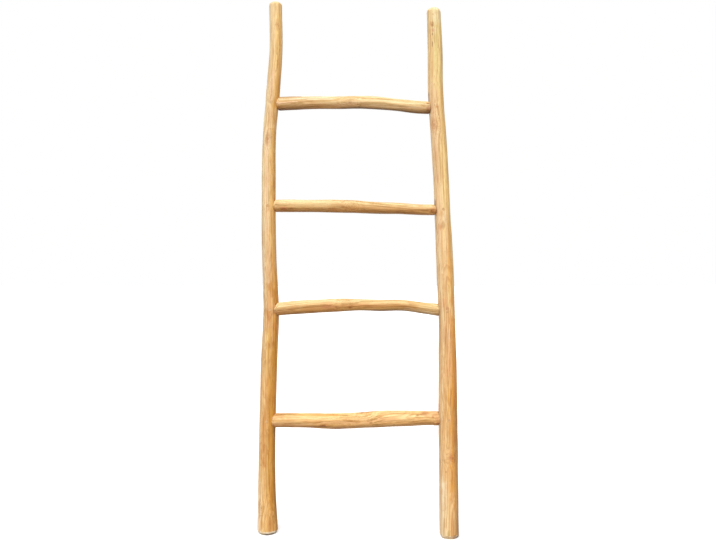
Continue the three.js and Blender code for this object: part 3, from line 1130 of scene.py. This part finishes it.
pin_sides = 40
pin_edge = 0.0006


class Dowel:
    """A pin's own straight grain, from its front to its back, read in the same way as a branch's"""

    knots = []

    def __init__(self, middle, seed):
        self.middle = middle
        draw = np.random.default_rng(seed)
        self.pith = draw.uniform(-0.005, 0.005, 2)
        self.start = draw.uniform(0, 0.3)

    def straighten(self, points):
        across, deep, up = np.moveaxis(points - self.middle, -1, 0)
        return np.stack([across - self.pith[0], up - self.pith[1], deep + self.start], axis=-1)

    def shaving(self, along, turn):
        return pin_radius, np.zeros_like(along)


def make_pin(name, rung, side):
    joint, rail = joints[rung, side], rail_at(side)
    turn = np.linspace(0, math.tau, pin_sides, endpoint=False)
    spread = np.stack([np.cos(turn), np.zeros_like(turn), np.sin(turn)], axis=-1)
    middle = joint["centre"]
    back, front = joint["pin_end"][1], joint["pin_front"][1]

    def on_face(radius, sunk):
        """A ring on the rail's front, at a radius from the pin's own middle"""
        ring = middle + radius * spread
        deep = halve(lambda out: rail.outside(ring - out[:, None] * [0, 1, 0]), pin_sides, 0.0, -front)
        ring[:, 1] = sunk - deep
        return ring

    shank = [(0.5 * pin_radius, back), (pin_radius - pin_edge, back)]
    shank += [(pin_radius, deep) for deep in (back - pin_edge, back - 0.010, -0.004)]
    rings = [middle + radius * spread + [0, deep, 0] for radius, deep in shank]
    # The face's rings as shares of the pin's radius, and how far each is sunk
    face = [(1.0, pin_edge), (0.985, 0.00025), (0.94, 0.00005), (0.86, 0), (0.66, 0), (0.4, 0), (0.18, 0)]
    rings += [on_face(share * pin_radius, sunk) for share, sunk in face]
    return closed_skin(name + "_wood", np.stack(rings), middle + [0, back, 0], rings[-1].mean(axis=0))


pin_tones = {
    **shared_tones,
    "pale": ("#f3d6a8", "#eec793"),
    "deep": ("#f1cf9c", "#eabf88"),
    "streaks": 0.25,
    "lines": 0.15,
    "rings": 0.25,
    # The pins are paler on top and deeper below: painted light and shade
    "lit_side": 90,
    "pale_edge": 0.0,
    "edge_width": 0.5,
    "warms": (0.0, 0.3),
    "sawn": 0.1,
    "ring_spacing": 0.0013,
}
pin_finish = branch_finish("pin", Dowel, pin_tones)
for number, (rung, side) in enumerate(joints):
    name = rung + ("_left_pin" if side < 0 else "_right_pin")
    pin = make_pin(name, rung, side)
    clean = np.zeros(len(pin.data.vertices))
    lay_grain(pin, Dowel(joints[rung, side]["centre"], 60 + number), clean, clean)
    pin.data.materials.append(pin_finish)
    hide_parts(name)
    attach(pin, "root")


# The ladder stands on a plain pale floor in a white studio, lit from above and a little left by one
# broad soft lamp, with a weaker one low on the right and another behind.

floor_mesh = bpy.data.meshes.new("floor")
floor_mesh.from_pydata([(-30, -30, 0), (30, -30, 0), (30, 30, 0), (-30, 30, 0)], [], [(0, 1, 2, 3)])
floor = bpy.data.objects.new("floor", floor_mesh)
bpy.context.scene.collection.objects.link(floor)
white = (1.0, 1.0, 1.0, 1.0)


def seen_directly(tree):
    """1 for what the camera sees, straight, in a mirror or through glass, and 0 for other light"""
    path = node("LightPath", tree=tree)
    seen = reckon("MAXIMUM", Value(path, "Is Camera Ray"), Value(path, "Is Glossy Ray"))
    return reckon("MAXIMUM", seen, Value(path, "Is Transmission Ray"))


floor_finish, tree = blank_material("floor_finish")
lighting_floor = Value(node("BsdfDiffuse", {"Color": (0.23, 0.19, 0.14, 1.0)}, tree))
seen_floor = Value(node("BsdfDiffuse", {"Color": (0.92, 0.92, 0.92, 1.0)}, tree))
glow = Value(node("Emission", {"Color": white, "Strength": 0.22}, tree))
bright = Value(node("AddShader", {0: seen_floor, 1: glow}))
either = Value(node("MixShader", {0: seen_directly(tree), 1: lighting_floor, 2: bright}))
node("OutputMaterial", {"Surface": either})
floor_mesh.materials.append(floor_finish)

world = bpy.data.worlds.new("studio")
world.use_nodes = True
bpy.context.scene.world = world
world.node_tree.nodes.clear()
brightness = seen_directly(world.node_tree) * 0.6 + 0.4
sky = Value(node("Background", {"Color": white, "Strength": brightness}))
node("OutputWorld", {"Surface": sky})


def soft_lamp(name, strength, spread, height, sideways):
    """A broad lamp far away, given by its angles above the ladder and to its right, in degrees"""
    lamp = bpy.data.lights.new(name, "SUN")
    lamp.energy, lamp.angle = strength, math.radians(spread)
    holder = bpy.data.objects.new(name, lamp)
    holder.rotation_euler = (math.radians(90 - height), 0.0, math.radians(sideways))
    bpy.context.scene.collection.objects.link(holder)


soft_lamp("key_lamp", 2.7, 45, 52, -26)
soft_lamp("fill_lamp", 1.05, 60, 20, 22)
soft_lamp("back_lamp", 1.1, 70, 35, 200)
